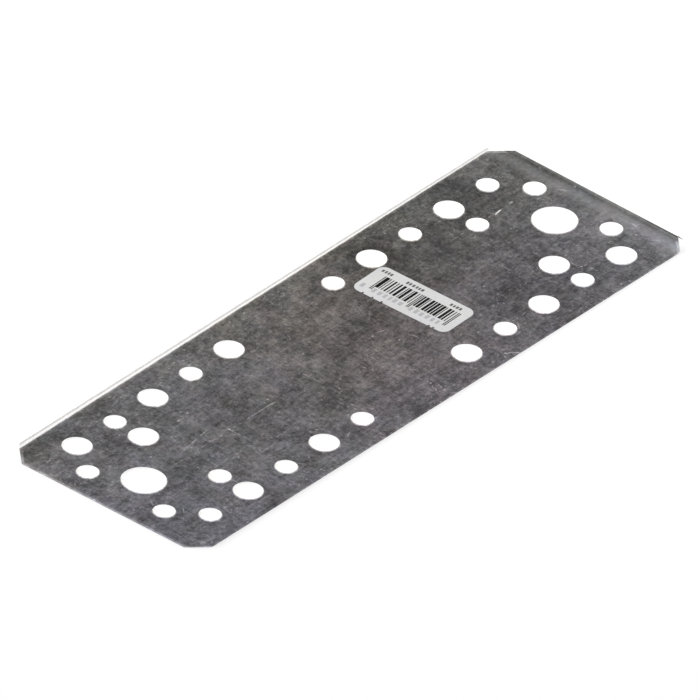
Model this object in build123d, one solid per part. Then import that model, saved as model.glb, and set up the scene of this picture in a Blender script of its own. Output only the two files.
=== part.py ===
from build123d import *

import math
import os

# Mending plate: a flat connector plate that nails, screws or bolts two timbers together.
# A strip of galvanised sheet is slit to width, punched with round holes, notched at the
# corners and sheared to length, all from the top face, so every cut edge shows the same
# three zones: a lip drawn down from the face, a straight sheared band, and a fracture
# that leans back to the underside. A paper price label is stuck to the top face.
#
# Millimetres. X runs along the plate, Y across it and Z up, out of the top face.
# The origin is the middle of the underside.

# Sheet
length = 197.0
width = 65.0
thickness = 2.0
corner_cut = 5.1  # leg of the 45 degree cut at each corner

# Hole diameters, for nails, screws and bolts
small_hole = 6.0
medium_hole = 8.0
large_hole = 12.0

# Hole places in the group at each end, measured from that end and from the long edges
columns = 5
column_setback = 16.5
column_pitch = 15.3
inner_pair_column = 1  # counted from the end, the first column being 0
end_pair_setback = 9.3
outer_row_margin = 10.0
inner_row_margin = 19.6

# Lip of each kind of cut: how far it reaches into the face, and how deep it drops
punch_lip_width = 0.2
punch_lip_depth = 0.2
shear_lip_width = 1.2
shear_lip_depth = 0.16
notch_lip_width = 0.9
notch_lip_depth = 0.14
slit_lip_width = 0.15
slit_lip_depth = 0.1

# Fracture at the foot of every cut
fracture_share = 0.35  # of the sheet's thickness
fracture_lean = 0.06

# Stock left outside the finished outline for the shears to trim
trim = 1.0

# Paper label, lying across the plate with one corner beside a medium hole
label_length = 31.0
label_width = 13.3
label_thickness = 0.1
label_corner = 2.3
label_turn = 1.4  # degrees, anticlockwise seen from above
label_hole_column = 3  # counted from the end, the first column being 0
label_hole_gap = 0.1
label_bearing = 250.0  # degrees, from that hole's centre to the label's corner
nick_diameter = 0.7
nick_depth = 0.55
nicks_from_head = (3.9, 7.1, 10.1)  # along one long edge, from the end beside the hole
nicks_from_foot = (3.9, 5.3)  # along the same edge, from the other end


def column_x(column):
    """Place of a column of the +X group, counted from that end."""
    return length / 2 - column_setback - column * column_pitch


def row_y(margin):
    """Place of a row that lies this far in from the +Y edge."""
    return width / 2 - margin


def end_group():
    """Holes of the +X end, each as (x, y, diameter)."""
    outer_row = row_y(outer_row_margin)
    inner_row = row_y(inner_row_margin)
    holes = [(column_x(0), 0, large_hole)]
    for column in range(columns):
        side = 1 if column % 2 == 0 else -1
        holes.append((column_x(column), side * outer_row, small_hole))
        holes.append((column_x(column), -side * outer_row, medium_hole))
    holes.append((column_x(inner_pair_column), inner_row, small_hole))
    holes.append((column_x(inner_pair_column), -inner_row, medium_hole))
    for side in (1, -1):
        holes.append((length / 2 - end_pair_setback, side * inner_row, small_hole))
    return holes


def rolled_lip(lip_width, lip_depth):
    """A lip that curves smoothly down from the face to the wall."""
    return TangentArc((lip_width, thickness), (0, thickness - lip_depth), tangent=(-1, 0))


def bevelled_lip(lip_width, lip_depth):
    """A lip too narrow for its curve to show."""
    return Line((lip_width, thickness), (0, thickness - lip_depth))


def cut_section(lip, reach):
    """Section of the metal that one cut takes away, drawn in X and Z.

    X counts from the line of the cut into the metal that stays, and the cut reaches the
    other way. Going down, the wall is the lip, the sheared band and the fracture.
    """
    above = thickness + trim
    below = -trim
    rest = Polyline(
        lip @ 1,
        (0, fracture_share * thickness),
        (fracture_lean, 0),
        (fracture_lean, below),
        (-reach, below),
        (-reach, above),
        ((lip @ 0).X, above),
        lip @ 0,
    )
    return make_face([lip, rest])


def punch(diameter):
    """The round slug that a punch drives out, standing on the origin."""
    section = cut_section(bevelled_lip(punch_lip_width, punch_lip_depth), diameter / 2)
    return revolve(Plane.XZ * Pos(diameter / 2, 0) * section, Axis.Z)


def slugs():
    """All that the punches take: one end group, and the same group turned half a turn."""
    group = [Pos(x, y) * punch(diameter) for x, y, diameter in end_group()]
    return group + [Rot(0, 0, 180) * slug for slug in group]


def shear_off(start, end, lip):
    """The stock outside one straight edge, the metal that stays being on the left."""
    reach = corner_cut + 2 * trim
    along = (end - start).normalized()
    inward = along.rotate(Axis.Z, 90)
    section_plane = Plane(start - along * reach, x_dir=inward, z_dir=along)
    return extrude(section_plane * cut_section(lip, reach), (end - start).length + 2 * reach)


def trimmings():
    """All that is cut off outside the outline, anticlockwise from the +X end."""
    notch = rolled_lip(notch_lip_width, notch_lip_depth)
    slit = rolled_lip(slit_lip_width, slit_lip_depth)
    shear = rolled_lip(shear_lip_width, shear_lip_depth)
    points = []
    for end, edge in ((1, 1), (-1, 1), (-1, -1), (1, -1)):
        on_end = Vector(end * length / 2, edge * (width / 2 - corner_cut))
        on_edge = Vector(end * (length / 2 - corner_cut), edge * width / 2)
        points += [on_end, on_edge] if end == edge else [on_edge, on_end]
    lips = (notch, slit, notch, shear) * 2
    return [shear_off(*ends) for ends in zip(points, points[1:] + points[:1], lips)]


def plate():
    """The sheet, trimmed to its outline and punched."""
    stock = Box(
        length + 2 * trim,
        width + 2 * trim,
        thickness,
        align=(Align.CENTER, Align.CENTER, Align.MIN),
    )
    return stock - trimmings() - slugs()


def label_outline():
    """The label lying along Y, with torn nicks in its -X edge."""
    nick_places = [label_length / 2 - distance for distance in nicks_from_head]
    nick_places += [distance - label_length / 2 for distance in nicks_from_foot]
    nick_x = nick_depth - nick_diameter / 2 - label_width / 2
    nicks = [Pos(nick_x, y) * Circle(nick_diameter / 2) for y in nick_places]
    return RectangleRounded(label_width, label_length, label_corner) - nicks


def label():
    """The paper label on the top face, turned a little."""
    hole = Vector(column_x(label_hole_column), row_y(outer_row_margin))
    bearing = math.radians(label_bearing)
    distance = medium_hole / 2 + punch_lip_width + label_hole_gap + label_corner
    corner = hole + distance * Vector(math.cos(bearing), math.sin(bearing))
    from_centre = Vector(label_width / 2 - label_corner, label_length / 2 - label_corner)
    centre = corner - from_centre.rotate(Axis.Z, label_turn)
    place = Pos(centre.X, centre.Y, thickness) * Rot(0, 0, label_turn)
    return place * extrude(label_outline(), label_thickness)


os.makedirs("parts", exist_ok=True)
export_step(plate(), "parts/plate.step")
export_step(label(), "parts/label.step")
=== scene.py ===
import math
import random

import bmesh
import bpy
from mathutils import Matrix, Vector


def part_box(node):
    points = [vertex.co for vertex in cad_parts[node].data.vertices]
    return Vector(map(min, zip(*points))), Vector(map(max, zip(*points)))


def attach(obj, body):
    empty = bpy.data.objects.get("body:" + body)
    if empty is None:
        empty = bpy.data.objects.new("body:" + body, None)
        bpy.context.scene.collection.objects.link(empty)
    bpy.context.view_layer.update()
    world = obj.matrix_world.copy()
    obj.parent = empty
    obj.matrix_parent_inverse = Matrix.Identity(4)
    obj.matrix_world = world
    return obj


# A mending plate of mottled galvanised steel with a paper label, on a pale floor. The plate and
# the label are the frame's own solids and get their materials here. The print on the label and
# one burr are added. Brightness is given in levels, which are the display's 8-bit ones, and a
# lift is how many levels brighter something is.

MM = 0.001

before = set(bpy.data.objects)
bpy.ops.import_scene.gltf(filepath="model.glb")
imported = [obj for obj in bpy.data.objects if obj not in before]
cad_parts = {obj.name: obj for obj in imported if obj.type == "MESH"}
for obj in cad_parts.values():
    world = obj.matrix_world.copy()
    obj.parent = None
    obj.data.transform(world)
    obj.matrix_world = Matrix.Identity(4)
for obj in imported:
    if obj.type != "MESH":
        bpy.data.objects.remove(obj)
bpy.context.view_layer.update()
plate_low, plate_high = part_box("plate")
label_low, label_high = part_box("label")

# Camera: a very long lens from far away, so that the view is nearly parallel. Right and up are
# the directions of the picture's sides. The view is rolled over, so up in it leans downwards.
VIEW_RIGHT = Vector((0.6442, -0.7633, -0.0493))
VIEW_UP = Vector((0.4077, 0.3972, -0.8222))
VIEW_WIDTH = 180 * MM  # what the picture spans at the plate
VIEW_SHIFT = (0.56 * MM, 0.36 * MM)  # picture centre from the plate's centre, right and up
LENS = 1600
SENSOR = 36

# Lamps: place in metres, size of the square, and power
LAMPS = {
    "key": ((0.25, 0.85, 0.5), 0.5, 6.8),
    "fill": ((0.85, 0.15, 0.55), 0.6, 5.0),
}

# Sky: its grey, and its strength for the rays that only light. The others find it at 1.
SKY_GREY = 0.8
SKY_LIGHT = 0.5

# Floor: a hair below the plate, so that the two never share a plane. The rays that see or
# mirror it find a shade with a glow, which together are white. The others find a matt grey.
FLOOR_SIZE = 12
FLOOR_GAP = 0.03 * MM
FLOOR_SHADE = 0.8
FLOOR_GLOW = 0.37
FLOOR_MATT = 0.9

# Colour of a level: green is this many levels lower, red and blue are these shares of green,
# and a unit of warm adds to red's share, or of lilac to blue's
GREEN_DROP = 1
RED_SHARE = 1.005
BLUE_SHARE = 1.01
TINT_UNIT = 0.045
GAMMA = 2.2

# Middle levels of the zinc face, the cut edges, the torn burr, the paper and its three inks
FACE_LEVEL = 101
WALL_LEVEL = 252
TORN_LEVEL = 44
PAPER_LEVEL = 219
STRIPE_INK = 10
HEADING_INK = 100
FOOTING_INK = 184

# Fine contrasts, in levels: the grain of torn steel and ink, and the paper's fibres and painted shade
# where it is cockled
GRAIN_CONTRAST = 30
FIBRE_CONTRAST = 26
COCKLE_SHADE_CONTRAST = 22

# Steel: how metallic it is, the zinc's roughness between two levels, and how far its bump
# stands up for each level
METALLIC = 0.6
ROUGHNESS_LEVELS = (80, 125)
ROUGHNESS = (0.6, 0.45)
BUMP_PER_LEVEL = 0.01

# How far a surface faces up, from 0 to 1: where cut edges end and the face is full, and where
# the lips and the bevels of the holes start and are full
FACE_TILT = (0.3, 0.6)
LIP_TILT = (0.9999, 0.993)
BEVEL_TILT = (0.93, 0.8)

# Mottling of the zinc: size in millimetres, roughness, distortion, and contrast in levels
MOTTLING = (
    (24, 0.7, 0, 46),
    (7, 0.9, 0.4, 84),
    (2.1, 0.9, 0.5, 60),
    (0.6, 1.0, 0, 112),
)

# Brush marks, and hairlines where a noise passes a threshold: where the noise is read in metres,
# its turn about Z, how many times longer than wide it is, and its contrast or lift
BRUSH_WIDTH = 0.7  # millimetres
BRUSH_MARKS = (((0.21, 0.07, 0), 0.08, 7, 60), ((0.6, 0.3, 0), 1.52, 5, 46))
HAIRLINE_WIDTH = 0.4  # millimetres
HAIRLINE_THRESHOLD = (0.64, 0.8)
HAIRLINES = (((0.05, 0.4, 0), -0.06, 11, 18), ((0.7, 0.1, 0), 1.5, 7, 16))

# Pale specks, in swarms: sizes in millimetres
SPECK_PLACE = (0.44, 0.02, 0)
SPECK_SIZE = 0.4
SPECK_THRESHOLD = (0.68, 0.82)
SPECK_LIFT = 46
SWARM_SIZE = 7
SWARM_SHARE = 0.35

# Broad clouds over the zinc face: centre and reach in millimetres, and lift. They are partly the
# zinc's uneven tone and partly painted reflection and shade, darker over the middle and lighter at the
# +X end.
CLOUDS = (
    ((50, 2), (42, 56), -18),
    ((100, -22), (26, 40), 20),
    ((12, -8), (30, 22), -12),
    ((-84, 1), (30, 18), 12),
    ((-58, -24), (56, 22), 8),
    ((77, 22), (12, 17), -20),
    ((35, 25), (12, 17), -18),
    ((57, 3), (17, 14), 15),
    ((66, -17), (17, 11), -15),
    ((-35, 1), (15, 14), -14),
    ((-28, -17), (17, 11), 12),
    ((-77, -28), (12, 10), 15),
    ((-21, 17), (12, 10), -11),
    ((-7, 28), (12, 9), 9),
    ((20, 15), (10, 9), 10),
    ((91, -29), (10, 8), 12),
)

# Tints of the face, in units: clouds with their centre and reach in millimetres, a fine drift
# with its size in millimetres, and what the +X end adds
DRIFT_PLACE = (0.3, 0.1, 0)
WARM_MIDDLE = 0.15
WARM_DRIFT = 3.0
WARM_DRIFT_SIZE = 4
WARM_CLOUDS = (((14, -6), (75, 60), 1.1), ((38, -14), (20, 18), -0.4))
WARM_END = -0.27
LILAC_SLOPE = -0.5 / (30 * MM)  # for each metre towards +Y
LILAC_DRIFT = 3.4
LILAC_DRIFT_SIZE = 5
LILAC_CLOUDS = (
    ((-98, -12), (60, 60), 0.7),
    ((20, 26), (62, 34), -0.7),
    ((-50, 24), (60, 30), 0.45),
    ((63, -10), (46, 20), 0.35),
    ((4, -5), (28, 13), -0.5),
    ((12, 28), (26, 12), 0.5),
)
LILAC_END = -0.4

# Single scratches and scuffs: start, end, width and size of their breaks in millimetres, and lift
MARKS = (
    ((53, 13.2), (82, 12.9), 0.5, 2.4, 46),
    ((73.0, 12.5), (76.4, 13.1), 0.62, 0, 115),
    ((79.4, 13.2), (81.4, 13.3), 0.7, 0, 60),
    ((57.1, 3.5), (57.2, -8), 0.45, 3, 34),
    ((-15.7, 6), (-15.9, -17.5), 0.5, 3, 26),
    ((-68, 0.9), (-50.5, 3.4), 0.5, 2, 64),
    ((-63, -1), (-28, -1.2), 0.5, 2.5, 46),
    ((-33.9, -1.2), (-30.2, -1.3), 0.75, 0, 40),
    ((-48.6, 0.2), (-48.5, -8.2), 0.5, 2, 60),
    ((-48.5, -0.4), (-48.4, -1.3), 0.7, 0, 60),
    ((-31.5, 0.8), (-30.7, 0.9), 0.8, 0, 70),
    ((-55.4, 11.1), (-54, 11.2), 0.8, 0, 50),
    ((-56, -13.4), (-44, -13.6), 0.45, 2, 34),
    ((-61.5, 29), (-56.8, 30.2), 0.5, 4, 60),
    ((-60.8, 27.8), (-58.2, 28.4), 0.45, 4, 52),
    ((25.5, -27.8), (31, -32.4), 0.8, 2, 70),
    ((35, -26.4), (39.4, -26), 0.45, 4, 44),
    ((70, -18.6), (73.4, -22.8), 2.2, 0.8, 46),
    ((-79, -31.8), (-74.4, -31), 0.5, 3, 60),
)

# Short random scratches: how far apart, length and width in millimetres, the share of places
# that have one, the spread of their angles in radians, and lift
STROKES = (
    (8, 3.6, 0.45, 0.4, 5, 46),
    (5.3, 1.4, 0.42, 0.35, 6, 44),
    (6.1, 0.75, 0.7, 0.3, 6, 66),
)

# Zones along the plate's edges: where each starts and where it is full, in millimetres in from
# the edge. The first four lie along the +X end, two along both long edges, the last along -X.
CALM_ZONE = (8, 4)
WARM_ZONE = (6, 3)
LILAC_ZONE = (3, 1)
HEAD_LIP_ZONE = (2.2, 1.4)
EDGE_HIGHLIGHT_ZONE = (0.9, 0.2)
SLIT_ZONE = (0.5, 0.2)
FOOT_ZONE = (3, 0)

CALM_SHARE = 0.5  # of the mottling's contrast, which the calm zone keeps

# Lifts of the upper face's edges: painted highlights on the lips, along the long edges and on the
# bevels of the holes, a band lighter towards -X, and painted light and shade at the +X corners. The
# highlights on the lips and the long edges come and go between two shares.
PATCH_SIZE = 1.5  # millimetres
PATCH_SHARES = (0.65, 1.25)
LIP_HIGHLIGHT_LIFT = 52
HEAD_LIP_HIGHLIGHT_LIFT = 8
BEVEL_HIGHLIGHT_LIFT = 6
EDGE_HIGHLIGHT_LIFT = 22
FOOT_LIFT = 16
# Painted reflection and shade at the two corners of the +X end
CORNER_LIGHT_AND_SHADE = ((1, 10, -4), (-1, 9, 22))  # side of the +X end, reach in millimetres, lift

# Bands across the plate at the +X end, painted light and shade of its rolled lip: distance of their
# middle from the end and their reach in millimetres, and lift. A painted sheen, then painted shade
# above the lip, and a painted glint on the rim.
END_LIGHT_AND_SHADE_BANDS = (
    (4.3, 3.4, 24),
    (1.35, 0.9, -13),
    (0, 0.6, 18),
)

# Dark rim beside the burr: a band as above, and where across the plate it starts and is full
DARK_RIM = (0.2, 0.4, -60)
DARK_RIM_SPAN = (-12 * MM, -20 * MM)

# Cut edges. The long ones are scored, with a torn line of a middle height and reach, which rises
# and falls raggedly and slopes along the plate. The others have OTHER_CUTS of all that.
TEAR_HEIGHT = 0.95 * MM
TEAR_REACH = 0.6 * MM
TEAR_RAGGED = 0.35 * MM
TEAR_SLOPE = -0.004
TEAR_LIFT = -46
TEAR_CONTRAST = 50
SLIT_LIFT = -20
SCORE_CONTRAST = 24
OTHER_CUTS = 0.15

# Burr that the shears left on the rim of the +X end, with its tip past the -Y notch: each point's
# place across the plate and depth below the face in millimetres, and its share of the radius
BURR_RADIUS = 0.13 * MM
BURR = ((-21, 0.28, 0.1), (-24.5, 0.24, 0.7), (-27.4, 0.2, 1), (-28.4, 0.14, 0.75), (-29.1, 0.1, 0.3))

# Print on the label, in millimetres from the label's middle. Its lines run from the label's +Y
# end to its -Y end, and up the page is +X.
LABEL_TURN = math.radians(1.4)
INK_FILM = 0.04 * MM  # thickness of the print, half of it in the paper
HEADING_RUNS = ((-14.2, -10.8), (-6.2, -0.4), (8.2, 11.6))
HEADING_BLOCK = (4.3, 1.2, 0.65, 0.38)  # foot, height, width and gap
FOOTING_RUNS = ((-14.4, -13.9), (-10.6, -1.0), (1.5, 11.0))
FOOTING_BLOCK = (-4.6, 1.9, 0.95, 0.75)
STRIPES_START = -11.8
STRIPES_LENGTH = 24.9
STRIPES_FOOT = -2.2
STRIPES_TOP = 3.3
GUARD_FOOT = -3.8

# Layout of the stripes along a line, in modules
STRIPE_MODULES = 95
GUARDS = (0, 2, 46, 48, 92, 94)
GROUP_STARTS = (3, 50)  # one for each half
GROUPS = 6
GROUP_MODULES = 7
STRIPE_WIDTHS = ((1, 3, 1), (1, 2, 2), (2, 3, 1), (1, 3, 2), (1, 4, 1))  # two stripes, their gap


class Shader:
    """The nodes of one material or world, with short ways to add and join them."""

    def __init__(self, owner, output="ShaderNodeOutputMaterial"):
        self.owner = owner
        owner.use_nodes = True
        self.tree = owner.node_tree
        self.tree.nodes.clear()
        self.output = self.tree.nodes.new(output)

    def node(self, kind, inputs=None, **settings):
        """A node whose inputs are values, or sockets that it is joined to."""
        made = self.tree.nodes.new(kind)
        for key, value in settings.items():
            setattr(made, key, value)
        for key, value in (inputs or {}).items():
            if isinstance(value, bpy.types.NodeSocket):
                self.tree.links.new(value, made.inputs[key])
            else:
                made.inputs[key].default_value = value
        return made

    def surface(self, kind, inputs):
        """The last shader, joined to the output. Gives the material or world."""
        self.tree.links.new(self.node(kind, inputs).outputs[0], self.output.inputs["Surface"])
        return self.owner

    def math(self, operation, a, b=0.0):
        return self.node("ShaderNodeMath", {0: a, 1: b}, operation=operation).outputs[0]

    def add(self, a, b):
        return self.math("ADD", a, b)

    def less(self, a, b):
        return self.math("SUBTRACT", a, b)

    def times(self, a, b):
        return self.math("MULTIPLY", a, b)

    def unsigned(self, value):
        return self.math("ABSOLUTE", value)

    def total(self, parts):
        """Sum of the parts, each a value and its weight."""
        running = None
        for value, weight in parts:
            part = self.times(value, weight)
            running = part if running is None else self.add(running, part)
        return running

    def span(self, value, low, high, to_low=0.0, to_high=1.0):
        """value, from low..high to to_low..to_high, held at the ends, with a smooth step between."""
        made = self.node(
            "ShaderNodeMapRange",
            {"Value": value, "From Min": low, "From Max": high, "To Min": to_low, "To Max": to_high},
            interpolation_type="SMOOTHSTEP",
        )
        return made.outputs["Result"]

    def near(self, value, edge, zone, outside=0.0, inside=1.0):
        """outside until value is in the zone along the edge, then inside."""
        start, full = zone
        return self.span(value, edge - start * MM, edge - full * MM, outside, inside)

    def band(self, value, middle, reach):
        """1 where value is middle, falling to 0 at the reach to both sides."""
        return self.span(self.unsigned(self.less(value, middle)), reach, 0)

    def mix(self, share, a, b):
        """Colour a, or b where share is 1. The node's sockets 6 and 7 are its colours."""
        return self.node("ShaderNodeMix", {0: share, 6: a, 7: b}, data_type="RGBA").outputs[2]

    def place(self, centre=(0, 0, 0), turn=0.0, stretch=(1, 1, 1)):
        """The frame's coordinates seen from centre, turned about Z and divided by stretch."""
        where = self.node("ShaderNodeTexCoord").outputs["Object"]
        made = self.node(
            "ShaderNodeMapping",
            {"Vector": where, "Location": centre, "Rotation": (0, 0, turn), "Scale": stretch},
            vector_type="TEXTURE",
        )
        return made.outputs["Vector"]

    def noise(self, where, size_mm, detail=2.0, roughness=0.5, distortion=0.0):
        """A cloud from 0 to 1 whose features are about size_mm across."""
        made = self.node(
            "ShaderNodeTexNoise",
            {"Vector": where, "Scale": 0.5 / (size_mm * MM), "Detail": detail,
             "Roughness": roughness, "Distortion": distortion},
        )
        return made.outputs["Fac"]

    def swing(self, *cloud):
        """The same kind of cloud, from -0.5 to 0.5."""
        return self.less(self.noise(*cloud), 0.5)

    def spot(self, where):
        """1 at the middle of where, falling evenly to 0 at a distance of 1."""
        return self.node("ShaderNodeTexGradient", {0: where}, gradient_type="SPHERICAL").outputs["Fac"]

    def patch(self, centre, reach):
        """1 at centre, falling to 0 at the reach in X and Y, in millimetres."""
        where = self.place((centre[0] * MM, centre[1] * MM, 0), 0, (reach[0] * MM, reach[1] * MM, 1))
        return self.span(self.spot(where), 0, 1)

    def patches(self, places):
        """Parts of a total, one for each centre, reach and weight."""
        return [(self.patch(centre, reach), weight) for centre, reach, weight in places]

    def scratch(self, start, end, width, jump):
        """A thin mark from start to end, broken up over jump unless that is 0, in millimetres."""
        reach = math.dist(start, end) / 2
        centre = ((start[0] + end[0]) / 2 * MM, (start[1] + end[1]) / 2 * MM, 0)
        turn = math.atan2(end[1] - start[1], end[0] - start[0])
        line = self.span(self.spot(self.place(centre, turn, (reach * MM, width / 2 * MM, 1))), 0, 0.35)
        if not jump:
            return line
        return self.times(line, self.span(self.noise(self.place(centre), jump, 2, 0.8), 0.42, 0.56))

    def strokes(self, spacing, length, width, share, spread):
        """Short scratches in a share of the cells, each turned at random within the spread."""
        where = self.place()
        cells = self.node(
            "ShaderNodeTexVoronoi",
            {"Vector": where, "Scale": 1 / (spacing * MM)},
            voronoi_dimensions="2D",
        ).outputs
        from_middle = self.node(
            "ShaderNodeVectorMath", {0: where, 1: cells["Position"]}, operation="SUBTRACT"
        )
        draws = self.node("ShaderNodeSeparateColor", {0: cells["Color"]}).outputs
        angle = self.times(self.less(draws["Red"], 0.5), spread)
        turned = self.node(
            "ShaderNodeVectorRotate",
            {"Vector": from_middle.outputs[0], "Angle": angle},
            rotation_type="Z_AXIS",
        )
        flattened = self.node(
            "ShaderNodeMapping",
            {"Vector": turned.outputs[0], "Scale": (length / 2 * MM, width / 2 * MM, 1)},
            vector_type="TEXTURE",
        )
        line = self.span(self.spot(flattened.outputs[0]), 0, 0.5)
        return self.times(line, self.span(draws["Green"], 1 - share, 1))

    def tinted(self, level, warm, lilac):
        """Colour that shows at this level, redder by the warm units and bluer by the lilac ones."""
        green = self.math("DIVIDE", self.less(level, GREEN_DROP), 255)
        red = self.times(green, self.add(self.times(warm, TINT_UNIT), RED_SHARE))
        blue = self.times(green, self.add(self.times(lilac, TINT_UNIT), BLUE_SHARE))
        shown = self.node("ShaderNodeCombineColor", {0: red, 1: green, 2: blue}).outputs[0]
        return self.node("ShaderNodeGamma", {0: shown, 1: GAMMA}).outputs[0]


def face_level(shader, along):
    """Level of the zinc face: mottling, brush marks, hairlines, specks, and clouds that are partly
    painted reflection and shade.
    """
    where = shader.place()
    grain = []
    for size, roughness, distortion, contrast in MOTTLING:
        grain.append((shader.swing(where, size, 2, roughness, distortion), contrast))
    for centre, turn, stretch, contrast in BRUSH_MARKS:
        brushed = shader.place(centre, turn, (stretch, 1, 1))
        grain.append((shader.swing(brushed, BRUSH_WIDTH, 3, 0.9), contrast))
    for centre, turn, stretch, lift in HAIRLINES:
        lines = shader.noise(shader.place(centre, turn, (stretch, 1, 1)), HAIRLINE_WIDTH, 1)
        grain.append((shader.span(lines, *HAIRLINE_THRESHOLD), lift))
    speckled = shader.place(SPECK_PLACE)
    swarms = shader.times(shader.swing(speckled, SWARM_SIZE), SWARM_SHARE)
    specks = shader.add(shader.noise(speckled, SPECK_SIZE, 1), swarms)
    grain.append((shader.span(specks, *SPECK_THRESHOLD), SPECK_LIFT))
    calm = shader.near(along, plate_high.x, CALM_ZONE, 1, CALM_SHARE)
    mottled = shader.times(shader.total(grain), calm)
    # Clouds of the zinc's tone, with painted reflection and shade among them
    clouds = shader.total(shader.patches(CLOUDS))
    return shader.add(shader.add(mottled, clouds), FACE_LEVEL)


def wear_level(shader):
    """What the scratches, nicks and scuffs of the upper face add to its level."""
    parts = [(shader.strokes(*stroke), lift) for *stroke, lift in STROKES]
    parts += [(shader.scratch(*mark), lift) for *mark, lift in MARKS]
    return shader.total(parts)


def face_tints(shader, along, across):
    """Units of warm and of lilac in the face: warm in its middle, and lilac towards -Y."""
    drift = shader.place(DRIFT_PLACE)
    warm = shader.patches(WARM_CLOUDS) + [
        (shader.swing(drift, WARM_DRIFT_SIZE, 3, 0.9), WARM_DRIFT),
        (shader.near(along, plate_high.x, WARM_ZONE), WARM_END),
    ]
    lilac = shader.patches(LILAC_CLOUDS) + [
        (across, LILAC_SLOPE),
        (shader.swing(drift, LILAC_DRIFT_SIZE, 3, 0.9), LILAC_DRIFT),
        (shader.near(along, plate_high.x, LILAC_ZONE), LILAC_END),
    ]
    return shader.add(shader.total(warm), WARM_MIDDLE), shader.total(lilac)


def edge_level(shader, along, across, up):
    """What the painted light and shade on the lips, the long edges, the hole bevels and the +X end,
    and the lighter -X end and dark rim, add to the upper face's level.
    """
    head, side = plate_high.x, plate_high.y
    patchy = shader.span(shader.noise(shader.place(), PATCH_SIZE, 2, 0.8), 0.3, 0.7, *PATCH_SHARES)
    # Painted highlights on the slightly tilted lips and, patchily, along the long edges
    lips = shader.times(shader.span(up, *LIP_TILT), patchy)
    edge_highlight = shader.times(shader.near(shader.unsigned(across), side, EDGE_HIGHLIGHT_ZONE), patchy)
    at_head = shader.near(along, head, HEAD_LIP_ZONE)
    elsewhere = shader.less(1, at_head)
    at_foot = shader.near(shader.times(along, -1), -plate_low.x, FOOT_ZONE)
    parts = [
        (shader.times(lips, elsewhere), LIP_HIGHLIGHT_LIFT),
        (shader.times(lips, at_head), HEAD_LIP_HIGHLIGHT_LIFT),
        (shader.times(edge_highlight, elsewhere), EDGE_HIGHLIGHT_LIFT),
        # Painted highlight on the bevels of the holes
        (shader.span(up, *BEVEL_TILT), BEVEL_HIGHLIGHT_LIFT),
        (at_foot, FOOT_LIFT),
    ]
    # Painted reflection and shade at the corners of the +X end
    for end, reach, lift in CORNER_LIGHT_AND_SHADE:
        parts.append((shader.patch((head / MM, end * side / MM), (reach, reach)), lift))
    # Painted sheen, shade and glint of the rolled +X end
    for setback, reach, lift in END_LIGHT_AND_SHADE_BANDS:
        parts.append((shader.band(along, head - setback * MM, reach * MM), lift))
    setback, reach, lift = DARK_RIM
    rim = shader.band(along, head - setback * MM, reach * MM)
    parts.append((shader.times(rim, shader.span(across, *DARK_RIM_SPAN)), lift))
    return shader.total(parts)


def wall_level(shader, along, across, height):
    """Level of a cut edge: bright, and on the long edges scored, with the torn line."""
    scores = shader.swing(shader.place(stretch=(1, 1, 12)), 0.35, 2, 0.8)
    grain = shader.swing(shader.place(), 0.3, 2, 0.9)
    ragged = shader.total([
        (height, 1),
        (shader.swing(shader.place(), 1.2, 2, 0.7), TEAR_RAGGED),
        (along, TEAR_SLOPE),
    ])
    slit = shader.near(shader.unsigned(across), plate_high.y, SLIT_ZONE, OTHER_CUTS)
    torn = shader.times(shader.band(ragged, TEAR_HEIGHT, TEAR_REACH), slit)
    darker = shader.total([
        (shader.times(scores, slit), SCORE_CONTRAST),
        (shader.times(grain, torn), TEAR_CONTRAST),
        (slit, SLIT_LIFT),
        (torn, TEAR_LIFT),
    ])
    return shader.add(darker, WALL_LEVEL)


def galvanised():
    """Zinc on the faces, with wear and painted light on the upper one alone, and bright cut edges."""
    shader = Shader(bpy.data.materials.new("galvanised_steel"))
    x, y, z = shader.node("ShaderNodeSeparateXYZ", {0: shader.place()}).outputs
    normal = shader.node("ShaderNodeTexCoord").outputs["Normal"]
    tilt = shader.node("ShaderNodeSeparateXYZ", {0: normal}).outputs["Z"]
    up = shader.unsigned(tilt)
    wear_and_painted_light = shader.add(wear_level(shader), edge_level(shader, x, y, up))
    level = shader.add(face_level(shader, x), shader.times(wear_and_painted_light, shader.math("GREATER_THAN", tilt, 0)))
    face = shader.tinted(level, *face_tints(shader, x, y))
    wall = shader.tinted(wall_level(shader, x, y, z), warm=0.0, lilac=-0.4)
    bump = shader.node(
        "ShaderNodeBump",
        {"Height": shader.times(level, BUMP_PER_LEVEL), "Strength": 0.2, "Distance": 0.2 * MM},
    )
    return shader.surface("ShaderNodeBsdfPrincipled", {
        "Base Color": shader.mix(shader.span(up, *FACE_TILT), wall, face),
        "Metallic": METALLIC,
        "Roughness": shader.span(level, *ROUGHNESS_LEVELS, *ROUGHNESS),
        "Normal": bump.outputs[0],
    })


def grained(shader, level):
    """The level with a fine grain, as torn metal and scuffed ink have."""
    grain = shader.swing(shader.place(), 0.5, 2, 0.8)
    return shader.add(shader.times(grain, GRAIN_CONTRAST), level)


def torn_steel():
    """Dark, grainy steel without zinc."""
    shader = Shader(bpy.data.materials.new("torn_steel"))
    colour = shader.tinted(grained(shader, TORN_LEVEL), warm=0.0, lilac=-0.2)
    return shader.surface(
        "ShaderNodeBsdfPrincipled",
        {"Base Color": colour, "Metallic": METALLIC, "Roughness": 0.5},
    )


def ink(name, level):
    """Dull ink, a little scuffed."""
    shader = Shader(bpy.data.materials.new(name))
    colour = shader.tinted(grained(shader, level), warm=0.0, lilac=0.2)
    return shader.surface(
        "ShaderNodeBsdfPrincipled",
        {"Base Color": colour, "Roughness": 0.6, "Specular IOR Level": 0.1},
    )


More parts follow.
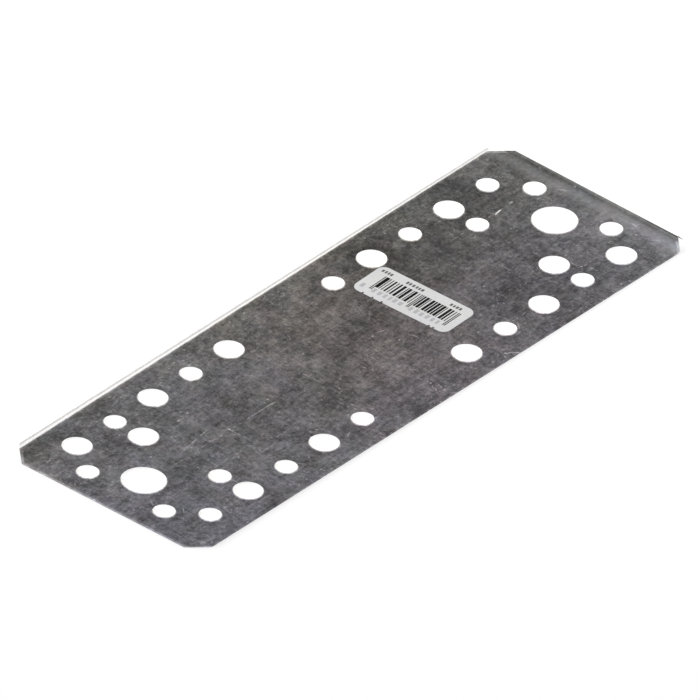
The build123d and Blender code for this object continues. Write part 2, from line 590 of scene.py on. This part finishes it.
def paper():
    """Pale paper with fine fibres, painted shade where it is slightly cockled, and yellower clouds."""
    shader = Shader(bpy.data.materials.new("label_paper"))
    fibres = shader.noise(shader.place(), 0.4, 3, 0.8)
    # Painted shade where the paper is cockled
    cockle_shade = shader.swing(shader.place(), 6)
    uneven = shader.total([(shader.less(fibres, 0.5), FIBRE_CONTRAST), (cockle_shade, COCKLE_SHADE_CONTRAST)])
    yellow = shader.span(shader.noise(shader.place((0.1, 0, 0)), 5, 2, 0.6), 0.45, 0.65, 0, 0.35)
    colour = shader.tinted(shader.add(uneven, PAPER_LEVEL), warm=-0.1, lilac=shader.less(-0.1, yellow))
    bump = shader.node("ShaderNodeBump", {"Height": fibres, "Strength": 0.15, "Distance": 0.1 * MM})
    return shader.surface(
        "ShaderNodeBsdfPrincipled",
        {"Base Color": colour, "Roughness": 0.55, "Normal": bump.outputs[0]},
    )


def seen_or_mirrored(shader):
    """1 for the rays that show a thing or mirror it, 0 for those that only light."""
    rays = shader.node("ShaderNodeLightPath").outputs
    seen = shader.math("MAXIMUM", rays["Is Camera Ray"], rays["Is Glossy Ray"])
    return shader.math("MAXIMUM", seen, rays["Is Transmission Ray"])


def grey(value):
    """The colour whose red, green and blue are all this value."""
    return (value, value, value, 1)


def floor_material():
    """White from above, with the plate's shadow, and clear from below."""
    shader = Shader(bpy.data.materials.new("floor"))
    matt = shader.node("ShaderNodeBsdfDiffuse", {"Color": grey(FLOOR_MATT)}).outputs[0]
    shade = shader.node("ShaderNodeBsdfDiffuse", {"Color": grey(FLOOR_SHADE)}).outputs[0]
    glow = shader.node("ShaderNodeEmission", {"Color": grey(1), "Strength": FLOOR_GLOW}).outputs[0]
    white = shader.node("ShaderNodeAddShader", {0: shade, 1: glow}).outputs[0]
    seen = seen_or_mirrored(shader)
    top = shader.node("ShaderNodeMixShader", {0: seen, 1: matt, 2: white}).outputs[0]
    clear = shader.node("ShaderNodeBsdfTransparent").outputs[0]
    below = shader.node("ShaderNodeNewGeometry").outputs["Backfacing"]
    return shader.surface("ShaderNodeMixShader", {0: below, 1: top, 2: clear})


def sky():
    """A world of one even grey."""
    shader = Shader(bpy.data.worlds.new("studio"), "ShaderNodeOutputWorld")
    strength = shader.span(seen_or_mirrored(shader), 0, 1, SKY_LIGHT, 1)
    return shader.surface("ShaderNodeBackground", {"Color": grey(SKY_GREY), "Strength": strength})


def placed(name, data):
    """A new object, in the scene."""
    made = bpy.data.objects.new(name, data)
    bpy.context.scene.collection.objects.link(made)
    return made


def look_at_plate():
    """The camera, aimed at the middle of the top face from far beyond the +X +Y corner."""
    right = VIEW_RIGHT.normalized()
    back = right.cross(VIEW_UP).normalized()
    up = back.cross(right)
    camera = placed("camera", bpy.data.cameras.new("camera"))
    camera.data.sensor_width = SENSOR
    camera.data.lens = LENS
    distance = VIEW_WIDTH * LENS / SENSOR
    aim = Vector((0, 0, plate_high.z)) + right * VIEW_SHIFT[0] + up * VIEW_SHIFT[1]
    turn = Matrix((right, up, back)).transposed().to_4x4()
    camera.matrix_world = Matrix.Translation(aim + back * distance) @ turn
    camera.data.clip_start = distance / 10
    camera.data.clip_end = distance * 3
    bpy.context.scene.camera = camera


def end_burr():
    """The burr, a thin tapered thread of steel half sunk in the rim."""
    curve = bpy.data.curves.new("end_burr", "CURVE")
    curve.dimensions = "3D"
    curve.bevel_depth = BURR_RADIUS
    curve.bevel_resolution = 1
    curve.use_fill_caps = True
    line = curve.splines.new("POLY")
    line.points.add(len(BURR) - 1)
    for point, (across, depth, share) in zip(line.points, BURR):
        point.co = (plate_high.x - BURR_RADIUS, across * MM, plate_high.z - depth * MM, 1)
        point.radius = share
    curve.materials.append(torn_steel())
    made = placed("end_burr", curve)
    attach(made, "root")


def label_frame():
    """The middle of the label's face, turned as the label is."""
    centre = (label_low + label_high) / 2
    centre.z = label_high.z
    return Matrix.Translation(centre) @ Matrix.Rotation(LABEL_TURN, 4, "Z")


def printed(name, blocks, material):
    """One piece of print from blocks, each (start and end along a line, foot, top)."""
    film = bmesh.new()
    for start, end, foot, top in blocks:
        middle = Vector((foot + top, -start - end, 0)) / 2 * MM
        size = Matrix.Diagonal(((top - foot) * MM, (end - start) * MM, INK_FILM, 1))
        bmesh.ops.create_cube(film, size=1, matrix=label_frame() @ Matrix.Translation(middle) @ size)
    mesh = bpy.data.meshes.new(name)
    film.to_mesh(mesh)
    film.free()
    mesh.materials.append(material)
    made = placed(name, mesh)
    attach(made, "root")


def stripes(draw):
    """Plain stripes of random widths between three pairs of longer guard lines."""
    module = STRIPES_LENGTH / STRIPE_MODULES

    def stripe(start, end, foot):
        return (STRIPES_START + start * module, STRIPES_START + end * module, foot, STRIPES_TOP)

    blocks = [stripe(guard, guard + 1, GUARD_FOOT) for guard in GUARDS]
    for group_start in GROUP_STARTS:
        for group in range(GROUPS):
            start = group_start + group * GROUP_MODULES
            first, second, gap = draw.choice(STRIPE_WIDTHS)
            if draw.random() < 0.5:
                first, second = second, first
            blocks.append(stripe(start, start + first, STRIPES_FOOT))
            start += first + gap
            blocks.append(stripe(start, start + second, STRIPES_FOOT))
    return blocks


def blurred_line(draw, runs, foot, height, width, gap):
    """A line of plain upright blocks, where a label would carry words or figures."""
    blocks = []
    for start, end in runs:
        at = start
        while at < end:
            wide = width * draw.uniform(0.8, 1.2)
            blocks.append((at, at + wide, foot, foot + height * draw.uniform(0.85, 1)))
            at += wide + gap * draw.uniform(0.8, 1.2)
    return blocks


def label_print():
    """All that is printed on the label."""
    draw = random.Random(7)
    heading = blurred_line(draw, HEADING_RUNS, *HEADING_BLOCK)
    footing = blurred_line(draw, FOOTING_RUNS, *FOOTING_BLOCK)
    printed("print_stripes", stripes(draw), ink("stripe_ink", STRIPE_INK))
    printed("print_heading", heading, ink("heading_ink", HEADING_INK))
    printed("print_footing", footing, ink("footing_ink", FOOTING_INK))


def floor():
    """A wide square sheet under the plate."""
    size = FLOOR_SIZE / 2
    mesh = bpy.data.meshes.new("floor")
    corners = [(x * size, y * size, -FLOOR_GAP) for x, y in ((-1, -1), (1, -1), (1, 1), (-1, 1))]
    mesh.from_pydata(corners, [], [(0, 1, 2, 3)])
    mesh.materials.append(floor_material())
    placed("floor", mesh)


def lamp(name, place, size, power):
    """A square lamp that faces the plate."""
    data = bpy.data.lights.new(name, "AREA")
    data.size = size
    data.energy = power
    made = placed(name, data)
    made.location = place
    made.rotation_mode = "QUATERNION"
    made.rotation_quaternion = Vector(place).to_track_quat("Z", "Y")


look_at_plate()

for node, material in (("plate", galvanised()), ("label", paper())):
    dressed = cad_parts[node].data
    dressed.materials.clear()
    dressed.materials.append(material)

end_burr()
label_print()

floor()
bpy.context.scene.world = sky()
for name, settings in LAMPS.items():
    lamp(name, *settings)

view_settings = bpy.context.scene.view_settings
view_settings.view_transform = "Standard"
